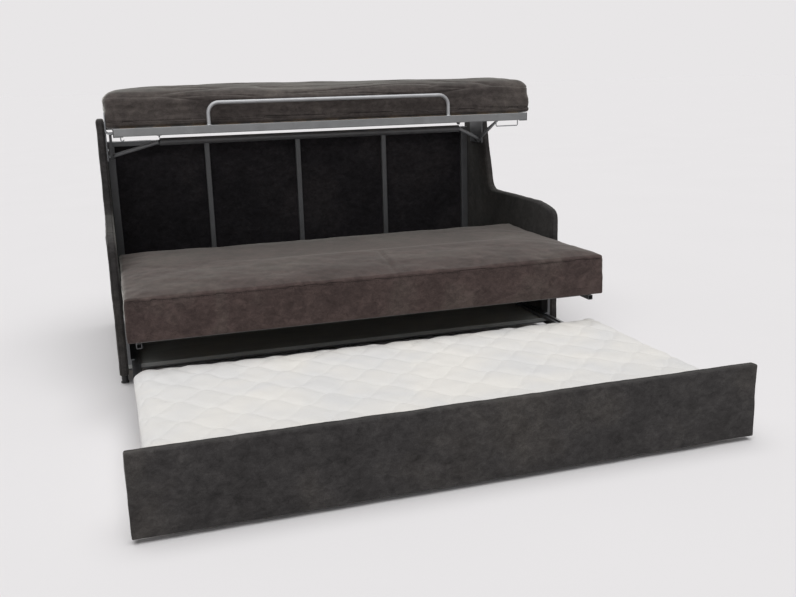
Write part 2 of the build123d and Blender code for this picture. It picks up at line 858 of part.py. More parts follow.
def wire_fittings(low, high, half):
    """Mattress stop loop on the left end, ladder hook and small hook under the front rail."""
    outer = half + end_cap_length
    stop_y0 = bunk_front + corner_plate / 4
    stop_y1 = stop_y0 + stop_span
    foot = low + stop_drop
    top = high + stop_rise
    run = inner_half - stop_side_gap - half
    loop = bent_wire(
        [(-half, stop_y0 + bunk_rail_width, foot), (-half - run, stop_y0 + bunk_rail_width, foot),
         (-half - run, stop_y0 + bunk_rail_width, top),
         (-half - run, stop_y1 + bunk_rail_width, top),
         (-half - run, stop_y1 + bunk_rail_width, foot), (-half, stop_y1 + bunk_rail_width, foot)],
        stop_bend,
    )
    save("mattress_stop", loop)
    hook_outer = half - ladder_hook_inset
    hook = bent_wire(
        [(hook_outer, guard_y, low),
         (hook_outer, guard_y, low - ladder_hook_drop),
         (hook_outer - ladder_hook_span, guard_y, low - ladder_hook_drop),
         (hook_outer - ladder_hook_span, guard_y, low)],
        ladder_hook_bend,
    )
    x = small_hook_inset - half
    turn = low - small_hook_drop
    stem = Line((x, guard_y, low - corner_plate_thickness), (x, guard_y, turn))
    curl = ThreePointArc(
        (x, guard_y, turn),
        (x + small_hook_radius, guard_y, turn - small_hook_radius),
        (x + 2 * small_hook_radius, guard_y, turn),
    )
    path = Wire([stem, curl])
    small = sweep((stem ^ 0) * Circle(wire_radius), path)
    save("wire_hooks", hook, small)
    plate = extrude(
        Plane.XY.offset(low - corner_plate_thickness) * make_face(Polyline(
            (outer - corner_plate, bunk_front), (outer, bunk_front),
            (outer, bunk_front + corner_plate), (outer - corner_plate, bunk_front),
        )),
        corner_plate_thickness,
    )
    save_pair("corner_plates", plate)


def pivot_brackets():
    """Steel plates on the wings with the bunk hinge pin and the stay pivot pin."""
    x0 = inner_half - bracket_thickness
    rear = hinge_y + bracket_reach
    boss = bracket_boss_radius
    outline = [
        (hinge_y - boss, hinge_z - boss), (hinge_y - boss, hinge_z + boss),
        (rear, hinge_z + boss), (rear, stay_pivot_height - bracket_low_drop),
        (stay_pivot_y - bracket_low_drop, stay_pivot_height - bracket_low_drop),
        (stay_pivot_y - bracket_low_drop, hinge_z - 2 * boss),
        (hinge_y - boss, hinge_z - boss),
    ]
    plate = extrude(
        Plane.YZ.offset(x0) * make_face(Polyline(*outline)), bracket_thickness
    )
    hinge_tip = bunk_half - bunk_rail_width - pin_cap_thickness
    hinge_pin = rod_x(hinge_tip, x0, hinge_y, hinge_z, hinge_pin_radius)
    spacer = rod_x(bunk_half + fit_gap, x0, hinge_y, hinge_z, hinge_spacer_radius)
    stay_tip = stay_arm_x - stay_arm_thickness / 2 - pin_cap_thickness
    stay_pin = rod_x(stay_tip, x0, stay_pivot_y, stay_pivot_height, hinge_pin_radius)
    stay_spacer = rod_x(
        stay_arm_x + stay_arm_thickness / 2 + fit_gap, x0, stay_pivot_y, stay_pivot_height,
        hinge_spacer_radius,
    )
    save_pair("pivot_brackets", plate + hinge_pin + spacer + stay_pin + stay_spacer)
    cap = rod_x(stay_tip - pin_cap_thickness, stay_tip, stay_pivot_y, stay_pivot_height,
                pin_cap_radius)
    save_pair("pin_caps", cap)
    places = [
        (rear - bolt_inset, hinge_z), (rear - bolt_inset, stay_pivot_height + bolt_inset),
        (stay_pivot_y + 2 * bolt_inset, stay_pivot_height + bolt_inset),
        (stay_pivot_y + 2 * bolt_inset, hinge_z),
    ]
    bolts = [
        rod_x(x0 - bolt_head_height, x0, y, z, bolt_head_radius) for y, z in places
    ]
    save("bracket_bolts", *bolts, *[mirrored(bolt) for bolt in bolts])


def strut(start, end, radius):
    """A straight round bar between two points."""
    path = Line(start, end)
    return sweep((path ^ 0) * Circle(radius), path)


def stays():
    """Swinging stays: an arm each side, slanting braces and one cross tube."""
    arm_y = stay_arm_top_y
    top = bunk_rail_bottom - fit_gap - stay_pad_height
    run = (arm_y - stay_pivot_y, top - stay_pivot_height)
    length = math.hypot(*run)
    across = (-run[1] / length, run[0] / length)
    half = stay_arm_height / 2
    corners = [
        (stay_pivot_y + across[0] * half, stay_pivot_height + across[1] * half),
        (arm_y + across[0] * half, top),
        (arm_y - across[0] * half, top),
        (stay_pivot_y - across[0] * half, stay_pivot_height - across[1] * half),
    ]
    x0 = stay_arm_x - stay_arm_thickness / 2
    blade = extrude(
        Plane.YZ.offset(x0) * make_face(Polyline(*corners, corners[0])), stay_arm_thickness
    )
    eye = rod_x(x0, x0 + stay_arm_thickness, stay_pivot_y, stay_pivot_height, stay_eye_radius)
    hole = rod_x(
        x0 - overrun, x0 + stay_arm_thickness + overrun, stay_pivot_y, stay_pivot_height,
        hinge_pin_radius + pin_gap,
    )
    save_pair("stay_arms", blade + eye - hole)
    pad = block(
        bunk_half - bunk_rail_width, x0 + stay_arm_thickness,
        arm_y - stay_pad_length / 2, arm_y + stay_pad_length / 2, top, top + stay_pad_height,
    )
    save_pair("stay_pads", pad)
    tube = rod_x(-stay_tube_half, stay_tube_half, stay_tube_y, stay_tube_height,
                 stay_tube_radius)
    hollow = rod_x(-stay_tube_half - overrun, stay_tube_half + overrun, stay_tube_y,
                   stay_tube_height, stay_tube_radius - stay_tube_wall)
    save("stay_cross_tube", tube - hollow)
    lift = math.hypot(stay_tube_y - stay_pivot_y, stay_tube_height - stay_pivot_height)
    near = (lift - stay_eye_radius - stay_brace_radius) / lift
    foot = (
        x0,
        stay_tube_y + (stay_pivot_y - stay_tube_y) * near,
        stay_tube_height + (stay_pivot_height - stay_tube_height) * near,
    )
    brace = strut((stay_tube_half, stay_tube_y, stay_tube_height), foot, stay_brace_radius)
    reach = rod_x(-stay_tube_half, stay_tube_half, stay_tube_y, stay_tube_height,
                  stay_tube_radius)
    beyond = block(
        x0, x0 + stay_arm_x, stay_pivot_y - lift, stay_pivot_y + lift,
        stay_pivot_height - lift, stay_pivot_height + lift,
    )
    save_pair("stay_braces", brace - reach - beyond)


def main():
    os.makedirs("parts", exist_ok=True)
    side_panels()
    feet()
    back()
    bottom_board()
    seat_tracks()
    seat()
    trundle()
    trundle_runners()
    trundle_wheels()
    bunk()
    pivot_brackets()
    stays()


main()
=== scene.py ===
import json
import math

import bmesh
import bpy
import numpy as np
from mathutils import Matrix, Vector
from mathutils.bvhtree import BVHTree


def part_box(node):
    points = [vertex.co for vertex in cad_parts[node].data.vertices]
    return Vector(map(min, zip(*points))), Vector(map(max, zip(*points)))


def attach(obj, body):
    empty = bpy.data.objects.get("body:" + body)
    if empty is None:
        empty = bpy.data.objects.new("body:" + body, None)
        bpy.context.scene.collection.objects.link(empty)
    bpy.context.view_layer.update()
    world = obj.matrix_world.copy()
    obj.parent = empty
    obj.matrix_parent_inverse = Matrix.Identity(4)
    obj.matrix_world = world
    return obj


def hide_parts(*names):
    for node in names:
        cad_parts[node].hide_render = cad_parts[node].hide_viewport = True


# A three bed sofa bed, fully opened. Metres, +Z up, +Y towards the back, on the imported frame.
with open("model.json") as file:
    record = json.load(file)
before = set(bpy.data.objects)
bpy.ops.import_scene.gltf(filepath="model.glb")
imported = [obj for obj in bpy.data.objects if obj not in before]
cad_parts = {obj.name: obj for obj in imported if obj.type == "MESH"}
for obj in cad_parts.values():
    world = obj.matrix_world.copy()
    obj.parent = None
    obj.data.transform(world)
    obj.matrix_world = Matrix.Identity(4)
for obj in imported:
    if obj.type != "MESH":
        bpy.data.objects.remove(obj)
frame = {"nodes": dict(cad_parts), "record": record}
scene = bpy.context.scene
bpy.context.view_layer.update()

MM = 0.001


# Camera, fitted to the photograph's edges

photo_width = 796
focal_pixels = 898.9
sensor_width = 36.0
camera_place = Vector((-0.9525, -3.515, 1.1935))
camera_yaw = 0.3056
camera_pitch = 0.2401
camera_roll = 0.0267


def place_camera():
    """Camera at the photograph's place and angle."""
    forward = Vector((
        math.sin(camera_yaw) * math.cos(camera_pitch),
        math.cos(camera_yaw) * math.cos(camera_pitch),
        -math.sin(camera_pitch),
    ))
    level = Vector((math.cos(camera_yaw), -math.sin(camera_yaw), 0))
    down = forward.cross(level)
    right = level * math.cos(camera_roll) + down * math.sin(camera_roll)
    below = down * math.cos(camera_roll) - level * math.sin(camera_roll)
    turn = Matrix((right, -below, -forward)).transposed()
    data = bpy.data.cameras.new("camera")
    data.sensor_width = sensor_width
    data.lens = focal_pixels / photo_width * sensor_width
    camera = bpy.data.objects.new("camera", data)
    camera.matrix_world = Matrix.Translation(camera_place) @ turn.to_4x4()
    scene.collection.objects.link(camera)
    scene.camera = camera


# Materials

nap_glow = (0.62, 0.62, 0.58, 1)
smooth_angle = math.radians(32)
# The Mix node's colour sockets share their names with its other kinds, so they go by number.
mix_first, mix_second, mix_result = 6, 7, 2


def srgb(red, green, blue):
    """A colour on a scale of 0 to 255, as linear light."""
    def linear(value):
        part = value / 255
        return part / 12.92 if part <= 0.04045 else ((part + 0.055) / 1.055) ** 2.4
    return (linear(red), linear(green), linear(blue), 1)


class Paint:
    """A material and short calls for its nodes."""

    def __init__(self, name):
        self.material = bpy.data.materials.new(name)
        self.material.use_nodes = True
        self.tree = self.material.node_tree
        self.shader = self.tree.nodes["Principled BSDF"]
        coords = self.tree.nodes.new("ShaderNodeTexCoord")
        self.place = coords.outputs["Object"]
        self.height = None

    def node(self, kind, **settings):
        """A new node with its settings."""
        made = self.tree.nodes.new(kind)
        for key, value in settings.items():
            setattr(made, key, value)
        return made

    def link(self, source, target):
        """Joins two sockets."""
        self.tree.links.new(source, target)

    def stretch(self, scale, turn=(0, 0, 0)):
        """The object's own coordinates, scaled and turned."""
        made = self.node("ShaderNodeMapping")
        made.inputs["Scale"].default_value = scale
        made.inputs["Rotation"].default_value = turn
        self.link(self.place, made.inputs["Vector"])
        return made.outputs["Vector"]

    def noise(self, scale, detail=3.0, rough=0.5, warp=0.0, place=None):
        """Cloudy noise: its scale in cells to the metre, detail, roughness and warp."""
        made = self.node("ShaderNodeTexNoise")
        made.inputs["Scale"].default_value = scale
        made.inputs["Detail"].default_value = detail
        made.inputs["Roughness"].default_value = rough
        made.inputs["Distortion"].default_value = warp
        self.link(place or self.place, made.inputs["Vector"])
        return made.outputs["Fac"]

    def wave(self, scale, warp, place):
        """Even bands across X."""
        made = self.node("ShaderNodeTexWave", wave_type="BANDS", bands_direction="X")
        made.inputs["Scale"].default_value = scale
        made.inputs["Distortion"].default_value = warp
        self.link(place, made.inputs["Vector"])
        return made.outputs["Fac"]

    def cells(self, scale):
        """Distance to the nearest of scattered spots."""
        made = self.node("ShaderNodeTexVoronoi")
        made.inputs["Scale"].default_value = scale
        self.link(self.place, made.inputs["Vector"])
        return made.outputs["Distance"]

    def ramp(self, source, stops):
        """A colour ramp from a list of (place, colour)."""
        made = self.node("ShaderNodeValToRGB")
        band = made.color_ramp
        while len(band.elements) < len(stops):
            band.elements.new(0.5)
        for element, (place, color) in zip(band.elements, stops):
            element.position = place
            element.color = color
        self.link(source, made.inputs["Fac"])
        return made.outputs["Color"]

    def tint(self, share, tone, pattern):
        """A colour multiplied by a pattern, in part."""
        made = self.node("ShaderNodeMix", data_type="RGBA", blend_type="MULTIPLY")
        made.inputs["Factor"].default_value = share
        self.link(tone, made.inputs[mix_first])
        self.link(pattern, made.inputs[mix_second])
        return made.outputs[mix_result]

    def shade(self, share, tone, source, stops):
        """A colour multiplied by a grey pattern, given as a list of (place, grey)."""
        greys = [(place, (grey, grey, grey, 1)) for place, grey in stops]
        return self.tint(share, tone, self.ramp(source, greys))

    def color(self, source):
        """Sets the base colour."""
        self.link(source, self.shader.inputs["Base Color"])

    def spread(self, source, low, high):
        """Roughness between two values, following a pattern."""
        made = self.node("ShaderNodeMapRange")
        made.inputs["To Min"].default_value = low
        made.inputs["To Max"].default_value = high
        self.link(source, made.inputs["Value"])
        self.link(made.outputs["Result"], self.shader.inputs["Roughness"])

    def bump(self, source, depth, strength=1.0):
        """Adds a layer of relief, depth in metres."""
        made = self.node("ShaderNodeBump")
        made.inputs["Distance"].default_value = depth
        made.inputs["Strength"].default_value = strength
        self.link(source, made.inputs["Height"])
        if self.height is not None:
            self.link(self.height, made.inputs["Normal"])
        self.height = made.outputs["Normal"]
        self.link(self.height, self.shader.inputs["Normal"])

    def set(self, **values):
        """Sets the shader's other values and gives the finished material."""
        for key, value in values.items():
            self.shader.inputs[key.replace("_", " ")].default_value = value
        return self.material


def scaled(color, share):
    """A colour made lighter or darker."""
    return tuple(min(1.0, part * share) for part in color[:3]) + (1,)


def suede(name, base, warm, sheen):
    """Brushed upholstery suede: cloudy nap, level brush marks, fine pile and a grey sheen."""
    paint = Paint(name)
    clouds = paint.noise(2.6, 4, 0.55, 0.5)
    blotches = paint.noise(15, 5, 0.62, 0.8, paint.stretch((0.8, 0.9, 1), (0.4, 0.3, 0.6)))
    brush = paint.noise(46, 6, 0.68, 0.6, paint.stretch((0.8, 0.8, 1.15), (0.2, 0.1, 0.3)))
    pile = paint.noise(330, 4, 0.65)
    nap = paint.noise(1500, 2, 0.6)
    tone = paint.ramp(clouds, [(0.32, scaled(base, 0.82)), (0.5, base),
                               (0.68, scaled(warm, 1.05))])
    patch = paint.ramp(blotches, [(0.3, (0.71, 0.7, 0.7, 1)), (0.5, (0.98, 0.98, 0.98, 1)),
                                  (0.7, (1.27, 1.27, 1.25, 1))])
    tone = paint.tint(0.9, tone, patch)
    tone = paint.shade(0.8, tone, brush, [(0.34, 0.64), (0.66, 1.3)])
    tone = paint.shade(0.75, tone, pile, [(0.32, 0.7), (0.68, 1.2)])
    tone = paint.shade(0.5, tone, paint.cells(95), [(0.0, 1.5), (0.07, 1)])
    paint.color(tone)
    paint.spread(blotches, 0.84, 0.98)
    paint.bump(blotches, 0.0016, 0.5)
    paint.bump(brush, 0.0006, 0.5)
    paint.bump(pile, 0.0005, 0.6)
    paint.bump(nap, 0.00015, 0.5)
    return paint.set(
        Sheen_Weight=sheen, Sheen_Roughness=0.42, Sheen_Tint=nap_glow, IOR=1.4,
        Specular_IOR_Level=0.15,
    )


def ticking():
    """White knitted mattress ticking: fine rib, faint warm and cool patches."""
    paint = Paint("white_ticking")
    rib = paint.wave(210, 0.6, paint.stretch((1, 0.18, 1)))
    patches = paint.noise(4, 3, 0.5, 0.4)
    knit = paint.noise(900, 3, 0.6)
    tone = paint.ramp(patches, [(0.35, srgb(221, 220, 219)), (0.65, srgb(230, 227, 222))])
    paint.color(paint.shade(0.7, tone, rib, [(0.1, 0.95), (0.9, 1.02)]))
    paint.spread(knit, 0.86, 0.96)
    paint.bump(rib, 0.0003, 0.4)
    paint.bump(knit, 0.0002, 0.5)
    return paint.set(Sheen_Weight=0.12, Sheen_Roughness=0.5, Specular_IOR_Level=0.25)


def powder_coat(name, base, metal, rough):
    """Powder coated steel: fine orange peel, faint dust and handling marks."""
    paint = Paint(name)
    peel = paint.noise(650, 3, 0.55)
    dust = paint.noise(14, 5, 0.6, 0.4)
    tone = paint.ramp(dust, [(0.35, scaled(base, 0.88)), (0.7, scaled(base, 1.08))])
    paint.color(paint.shade(0.6, tone, paint.noise(1300, 2), [(0.35, 0.88), (0.65, 1.1)]))
    paint.spread(dust, rough - 0.05, rough + 0.1)
    paint.bump(peel, 0.00012, 0.6)
    return paint.set(Metallic=metal)


def zinc_plate():
    """Zinc plated steel, slightly cloudy, drawn along its length."""
    paint = Paint("zinc_plate")
    cloud = paint.noise(30, 5, 0.6)
    drawn = paint.noise(240, 3, 0.5, 0, paint.stretch((1, 0.04, 1)))
    tone = paint.ramp(cloud, [(0.3, srgb(118, 120, 123)), (0.7, srgb(150, 152, 154))])
    paint.color(tone)
    paint.spread(drawn, 0.28, 0.46)
    paint.bump(drawn, 0.00008, 0.5)
    return paint.set(Metallic=1.0)


def laminated_wood():
    """Bent laminated slats: long grain, pores and a clear satin coat."""
    paint = Paint("laminated_wood")
    along = paint.stretch((26, 1.6, 26))
    grain = paint.noise(7, 6, 0.62, 0.8, along)
    pores = paint.noise(60, 3, 0.6, 0, paint.stretch((9, 0.5, 9)))
    tone = paint.ramp(grain, [(0.28, srgb(172, 136, 92)), (0.5, srgb(204, 170, 124)),
                              (0.74, srgb(220, 190, 148))])
    dark = paint.ramp(pores, [(0.34, (0.72, 0.68, 0.62, 1)), (0.5, (1, 1, 1, 1))])
    paint.color(paint.tint(0.7, tone, dark))
    paint.spread(grain, 0.42, 0.6)
    paint.bump(pores, 0.0002, 0.5)
    return paint.set(Coat_Weight=0.15, Coat_Roughness=0.35)


def stained_board():
    """Grey green stained fibreboard, matt, with fine fibres and rub marks."""
    paint = Paint("stained_board")
    fibre = paint.noise(380, 4, 0.6, 0.3)
    rubs = paint.noise(9, 5, 0.6, 1.0, paint.stretch((0.4, 1.4, 1)))
    tone = paint.ramp(rubs, [(0.3, srgb(124, 127, 125)), (0.55, srgb(140, 142, 140)),
                             (0.8, srgb(152, 154, 151))])
    paint.color(paint.shade(0.6, tone, fibre, [(0.35, 0.8), (0.65, 1.12)]))
    paint.spread(rubs, 0.5, 0.72)
    paint.bump(fibre, 0.00015, 0.5)
    return paint.set(Specular_IOR_Level=0.4)


def moulded_plastic():
    """Black moulded plastic with a fine spark eroded texture."""
    paint = Paint("moulded_plastic")
    grain = paint.noise(1100, 2, 0.6)
    wear = paint.noise(24, 4, 0.6)
    paint.color(paint.ramp(wear, [(0.35, srgb(26, 26, 27)), (0.7, srgb(42, 42, 42))]))
    paint.spread(grain, 0.48, 0.66)
    paint.bump(grain, 0.0001, 0.7)
    return paint.set(Specular_IOR_Level=0.45)


def wheel_rubber():
    """Dark grey tread rubber, dusty."""
    paint = Paint("wheel_rubber")
    dust = paint.noise(60, 5, 0.65)
    grain = paint.noise(900, 3, 0.6)
    paint.color(paint.ramp(dust, [(0.35, srgb(38, 38, 38)), (0.75, srgb(74, 72, 70))]))
    paint.spread(dust, 0.7, 0.92)
    paint.bump(grain, 0.0001, 0.6)
    return paint.set(Specular_IOR_Level=0.3)


charcoal = suede("charcoal_suede", srgb(60, 58, 58), srgb(68, 65, 63), 0.3)
brown_grey = suede("brown_grey_suede", srgb(75, 63, 61), srgb(83, 75, 71), 0.68)
bunk_grey = suede("bunk_suede", srgb(74, 68, 66), srgb(88, 82, 78), 0.95)
# The back panel's suede is the charcoal suede made darker: painted shade for the shadow under the
# bunk.
charcoal_painted_shade = suede("charcoal_suede_painted_shade", srgb(46, 44, 47), srgb(54, 51, 53), 0.2)
thread_dark = suede("dark_thread", srgb(34, 31, 30), srgb(42, 38, 37), 0.1)
white = ticking()
grey_coat = powder_coat("grey_powder_coat", srgb(126, 127, 128), 0.32, 0.44)
pale_coat = powder_coat("pale_powder_coat", srgb(164, 165, 167), 0.42, 0.36)
# The grey powder coat made darker: painted shade for the steel in the dark slot, the uprights and
# stays under the bunk.
grey_coat_painted_shade = powder_coat("grey_powder_coat_painted_shade", srgb(100, 101, 103), 0.25, 0.45)
zinc = zinc_plate()
wood = laminated_wood()
board = stained_board()
plastic = moulded_plastic()
rubber = wheel_rubber()

slot_materials = {
    "charcoal_fabric": charcoal,
    "brown_grey_fabric": brown_grey,
    "bunk_fabric": bunk_grey,
    "white_quilting": white,
    "board": board,
    "slat_wood": wood,
    "dark_steel": grey_coat_painted_shade,
    "grey_steel": grey_coat,
    "pale_steel": pale_coat,
    "zinc": zinc,
    "black_plastic": plastic,
    "tyre": rubber,
}


def paint_frame():
    """Every CAD node that stays gets its material, with smooth round faces."""
    slots = {part["node"]: part["material_slot"] for part in frame["record"]["subparts"]}
    for name, item in frame["nodes"].items():
        material = slot_materials[slots[name]]
        item.data.materials.clear()
        item.data.materials.append(material)
        item.data.polygons.foreach_set("use_smooth", [True] * len(item.data.polygons))
        item.data.set_sharp_from_angle(angle=smooth_angle)


# Soft goods: closed rounded forms

tiny = 1e-9
lower_edge_share = 0.45
seam_row_gap = 3 * MM


def steps(half, band, cell, rings, rows=()):
    """Coordinates along one axis: even cells, finer steps over the rounded band, and rows."""
    inner = half - band
    count = max(2, round(2 * inner / cell))
    middle = [inner * (2 * index / count - 1) for index in range(count + 1)]
    tips = [inner + band * math.tan(math.pi / 4 * ring / rings) for ring in range(1, rings + 1)]
    whole = [-tip for tip in reversed(tips)] + middle + tips
    near = cell / 5
    kept = [value for value in whole if all(abs(value - row) > near for row in rows)]
    return sorted(kept + list(rows))


def box_lattice(xs, ys, zs):
    """Points and four sided faces of a closed box surface on three lists of coordinates."""
    number = {}
    points = []
    faces = []

    def corner(i, j, k):
        if (i, j, k) not in number:
            number[(i, j, k)] = len(points)
            points.append((xs[i], ys[j], zs[k]))
        return number[(i, j, k)]

    def face(spots, turned):
        ring = [corner(*spot) for spot in spots]
        faces.append(ring[::-1] if turned else ring)

    last_x, last_y, last_z = len(xs) - 1, len(ys) - 1, len(zs) - 1
    for i in range(last_x):
        for j in range(last_y):
            for k, turned in ((0, True), (last_z, False)):
                face([(i, j, k), (i + 1, j, k), (i + 1, j + 1, k), (i, j + 1, k)], turned)
    for i in range(last_x):
        for k in range(last_z):
            for j, turned in ((0, False), (last_y, True)):
                face([(i, j, k), (i + 1, j, k), (i + 1, j, k + 1), (i, j, k + 1)], turned)
    for j in range(last_y):
        for k in range(last_z):
            for i, turned in ((0, True), (last_x, False)):
                face([(i, j, k), (i, j + 1, k), (i, j + 1, k + 1), (i, j, k + 1)], turned)
    return np.array(points), faces


def rounded(points, half, radii, low_share=1.0):
    """Points of a box surface pulled onto rounded edges, tighter ones on the lower half."""
    radii = radii * np.where(points[:, 2:] < 0, low_share, 1.0)
    inner = half - radii
    core = np.clip(points, -inner, inner)
    away = (points - core) / radii
    length = np.linalg.norm(away, axis=1, keepdims=True)
    return core + radii * away / np.maximum(length, tiny)


def node_box(name):
    """A CAD node's lowest and highest corners."""
    low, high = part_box(name)
    return np.array(low), np.array(high)


def read_vectors(rows, key):
    """One vector from each row, as a table with three columns."""
    values = np.empty(len(rows) * 3)
    rows.foreach_get(key, values)
    return values.reshape(-1, 3)


def get_points(piece):
    """Each vertex's place."""
    return read_vectors(piece.data.vertices, "co")


def get_normals(piece):
    """Each vertex's normal."""
    return read_vectors(piece.data.vertices, "normal")


def get_rest(piece):
    """Each vertex's place on the box before it was rounded, kept as an attribute."""
    return read_vectors(piece.data.attributes["rest"].data, "vector")


def set_points(piece, places):
    """Moves each vertex to its new place."""
    piece.data.vertices.foreach_set("co", places.reshape(-1))
    piece.data.update()


def make_piece(name, points, faces, material):
    """A smooth mesh object with its material."""
    mesh = bpy.data.meshes.new(name)
    mesh.from_pydata([tuple(point) for point in points], [], faces)
    mesh.materials.append(material)
    mesh.polygons.foreach_set("use_smooth", [True] * len(mesh.polygons))
    piece = bpy.data.objects.new(name, mesh)
    scene.collection.objects.link(piece)
    return piece


def soft_box(name, low, high, radii, cell, rings, material, seams=()):
    """A closed rounded box for a cushion, with three rows of points along each seam."""
    low, high, radii = np.array(low), np.array(high), np.array(radii)
    half = (high - low) / 2
    middle = (high + low) / 2
    shifts = (-seam_row_gap, 0, seam_row_gap)
    rows = [z - middle[2] + shift for z in seams for shift in shifts]
    xs = steps(half[0], radii[0], cell, rings)
    ys = steps(half[1], radii[1], cell, rings)
    zs = steps(half[2], radii[2], cell, rings, rows)
    points, faces = box_lattice(xs, ys, zs)
    places = rounded(points, half, radii, lower_edge_share) + middle
    piece = make_piece(name, places, faces, material)
    rest = piece.data.attributes.new("rest", "FLOAT_VECTOR", "POINT")
    rest.data.foreach_set("vector", (points + middle).reshape(-1))
    return piece


# Soft goods: shaping

ripple_waves = 28
ripple_spread = (0.6, 1.7)
ripple_peak = 1.6
weld_distance = 1e-6


def rise(values, start, length):
    """From 0 at a start to 1 a length further on."""
    return np.clip((values - start) / length, 0, 1)


def bell(distance, width):
    """1 on a line, falling to 0 within about twice the width of it."""
    return np.exp(-(distance / width) ** 2)


def groove(distance, width, depth):
    """Inward amount of a sewn groove at a distance from its line."""
    return -depth * bell(distance, width)


def shares(rest, low, high, top):
    """How far each point lies out to the sides and to the ends, and how high, from 0 to 1."""
    middle, half = (low + high) / 2, (high - low) / 2
    share_x = np.abs(rest[:, 0] - middle[0]) / half[0]
    share_y = np.abs(rest[:, 1] - middle[1]) / half[1]
    return share_x, share_y, rise(rest[:, 2], low[2], top - low[2]) ** 2


def ripple(places, seed, scale, stretch=(1, 1, 1)):
    """Smooth noise from a few dozen sine waves, about -1 to 1, the same each run.

    The scale is the usual wavelength. A stretch below 1 draws the waves out along that axis.
    """
    draw = np.random.default_rng(seed)
    directions = draw.normal(size=(ripple_waves, 3))
    directions /= np.linalg.norm(directions, axis=1, keepdims=True)
    lengths = scale * draw.uniform(*ripple_spread, ripple_waves)
    phases = draw.uniform(0, 2 * math.pi, ripple_waves)
    spots = places * np.array(stretch)
    total = np.zeros(len(places))
    for direction, length, phase in zip(directions, lengths, phases):
        total += np.sin(spots @ direction * (2 * math.pi / length) + phase)
    return total / math.sqrt(ripple_waves / 2) / ripple_peak


def push(piece, amounts):
    """Moves every point along its normal."""
    set_points(piece, get_points(piece) + get_normals(piece) * amounts[:, None])


def fill_width(piece, limit):
    """Stretches a piece evenly to a half width."""
    places = get_points(piece)
    places[:, 0] *= limit / np.abs(places[:, 0]).max()
    set_points(piece, places)


def apply_modifier(piece, modifier):
    """Makes what a modifier gives the piece's own mesh."""
    graph = bpy.context.evaluated_depsgraph_get()
    shaped = bpy.data.meshes.new_from_object(piece.evaluated_get(graph))
    piece.modifiers.remove(modifier)
    piece.data = shaped


def subdivide(piece):
    """One level of smooth subdivision."""
    step = piece.modifiers.new("Subdivision", "SUBSURF")
    step.levels = 1
    step.render_levels = 1
    apply_modifier(piece, step)


def relax(piece, rounds):
    """Light smoothing that takes voxel steps out."""
    step = piece.modifiers.new("Smooth", "SMOOTH")
    step.factor = 0.5
    step.iterations = rounds
    apply_modifier(piece, step)


def outer_island(piece):
    """Keeps the outer skin of a hollow mesh and drops the inner one."""
    mesh = bmesh.new()
    mesh.from_mesh(piece.data)
    bmesh.ops.remove_doubles(mesh, verts=mesh.verts, dist=weld_distance)
    mesh.verts.ensure_lookup_table()
    left = set(mesh.verts)
    islands = []
    while left:
        seed = left.pop()
        found, edge = {seed}, [seed]
        while edge:
            near = edge.pop()
            for link in near.link_edges:
                other = link.other_vert(near)
                if other not in found:
                    found.add(other)
                    edge.append(other)
        left -= found
        islands.append(found)

    def height(island):
        heights = [vert.co.z for vert in island]
        return max(heights) - min(heights)

    tallest = max(islands, key=height)
    spare = [vert for vert in mesh.verts if vert not in tallest]
    bmesh.ops.delete(mesh, geom=spare, context="VERTS")
    mesh.to_mesh(piece.data)
    mesh.free()


# Soft goods: filling by cloth simulation

cloth_frames = 20
cloth_quality = 4
cloth_mass = 0.4
cloth_stiffness = 15.0
cloth_bending = 0.4
cloth_pressure = 4.0
cloth_resting_height = 12 * MM


def inflate(piece, cap, looseness, underside):
    """Cloth simulation under inner pressure.

    No point moves further than the cap, and the underside stays at its level.
    """
    before = get_points(piece)
    cloth = piece.modifiers.new("Cloth", "CLOTH")
    settings = cloth.settings
    settings.quality = cloth_quality
    settings.mass = cloth_mass
    settings.tension_stiffness = cloth_stiffness
    settings.compression_stiffness = cloth_stiffness
    settings.shear_stiffness = cloth_stiffness / 3
    settings.bending_stiffness = cloth_bending
    settings.use_pressure = True
    settings.uniform_pressure_force = cloth_pressure
    settings.shrink_min = -looseness
    settings.effector_weights.gravity = 0
    cloth.collision_settings.use_collision = False
    cloth.point_cache.frame_start = 1
    cloth.point_cache.frame_end = cloth_frames
    for step in range(1, cloth_frames + 1):
        scene.frame_set(step)
    shaped = piece.evaluated_get(bpy.context.evaluated_depsgraph_get())
    after = read_vectors(shaped.to_mesh().vertices, "co")
    shaped.to_mesh_clear()
    piece.modifiers.remove(cloth)
    scene.frame_set(1)
    move = after - before
    size = np.linalg.norm(move, axis=1, keepdims=True)
    move *= cap * np.tanh(size / cap) / np.maximum(size, tiny)
    move[:, 2] *= rise(before[:, 2], underside, cloth_resting_height)
    set_points(piece, before + move)


# Soft goods: sewing

seam_radius = 0.9 * MM
seam_step = 6 * MM
seam_sink = 0.35
seam_sides = 6
thread_radius = 0.55 * MM
stitch_length = 5 * MM
stitch_sides = 5
stitch_rings = 4
stitch_tip = 0.35
stitch_arch = 0.5
oval_points = 400
cut_distance = 1e-7


def lay_line(line, surface):
    """A line's length, and a call for the surface's point and normal at a way along it."""
    tree = BVHTree.FromObject(surface, bpy.context.evaluated_depsgraph_get())
    line = np.array(line)
    spans = np.linalg.norm(np.diff(line, axis=0), axis=1)
    marks = np.concatenate([[0], np.cumsum(spans)])

    def touch(way):
        spot = [np.interp(way, marks, line[:, axis]) for axis in range(3)]
        place, normal, _, _ = tree.find_nearest(Vector(spot))
        return place, normal

    return marks[-1], touch


def round_section(center, side, up, radius, sides):
    """Points on a circle about a thread or cord."""
    turns = [2 * math.pi * turn / sides for turn in range(sides)]
    return [center + side * (radius * math.cos(turn)) + up * (radius * math.sin(turn))
            for turn in turns]


def section_faces(near, far, sides):
    """Faces between two round sections, given by the numbers of their first points."""
    pairs = [(turn, (turn + 1) % sides) for turn in range(sides)]
    return [[near + turn, near + after, far + after, far + turn] for turn, after in pairs]


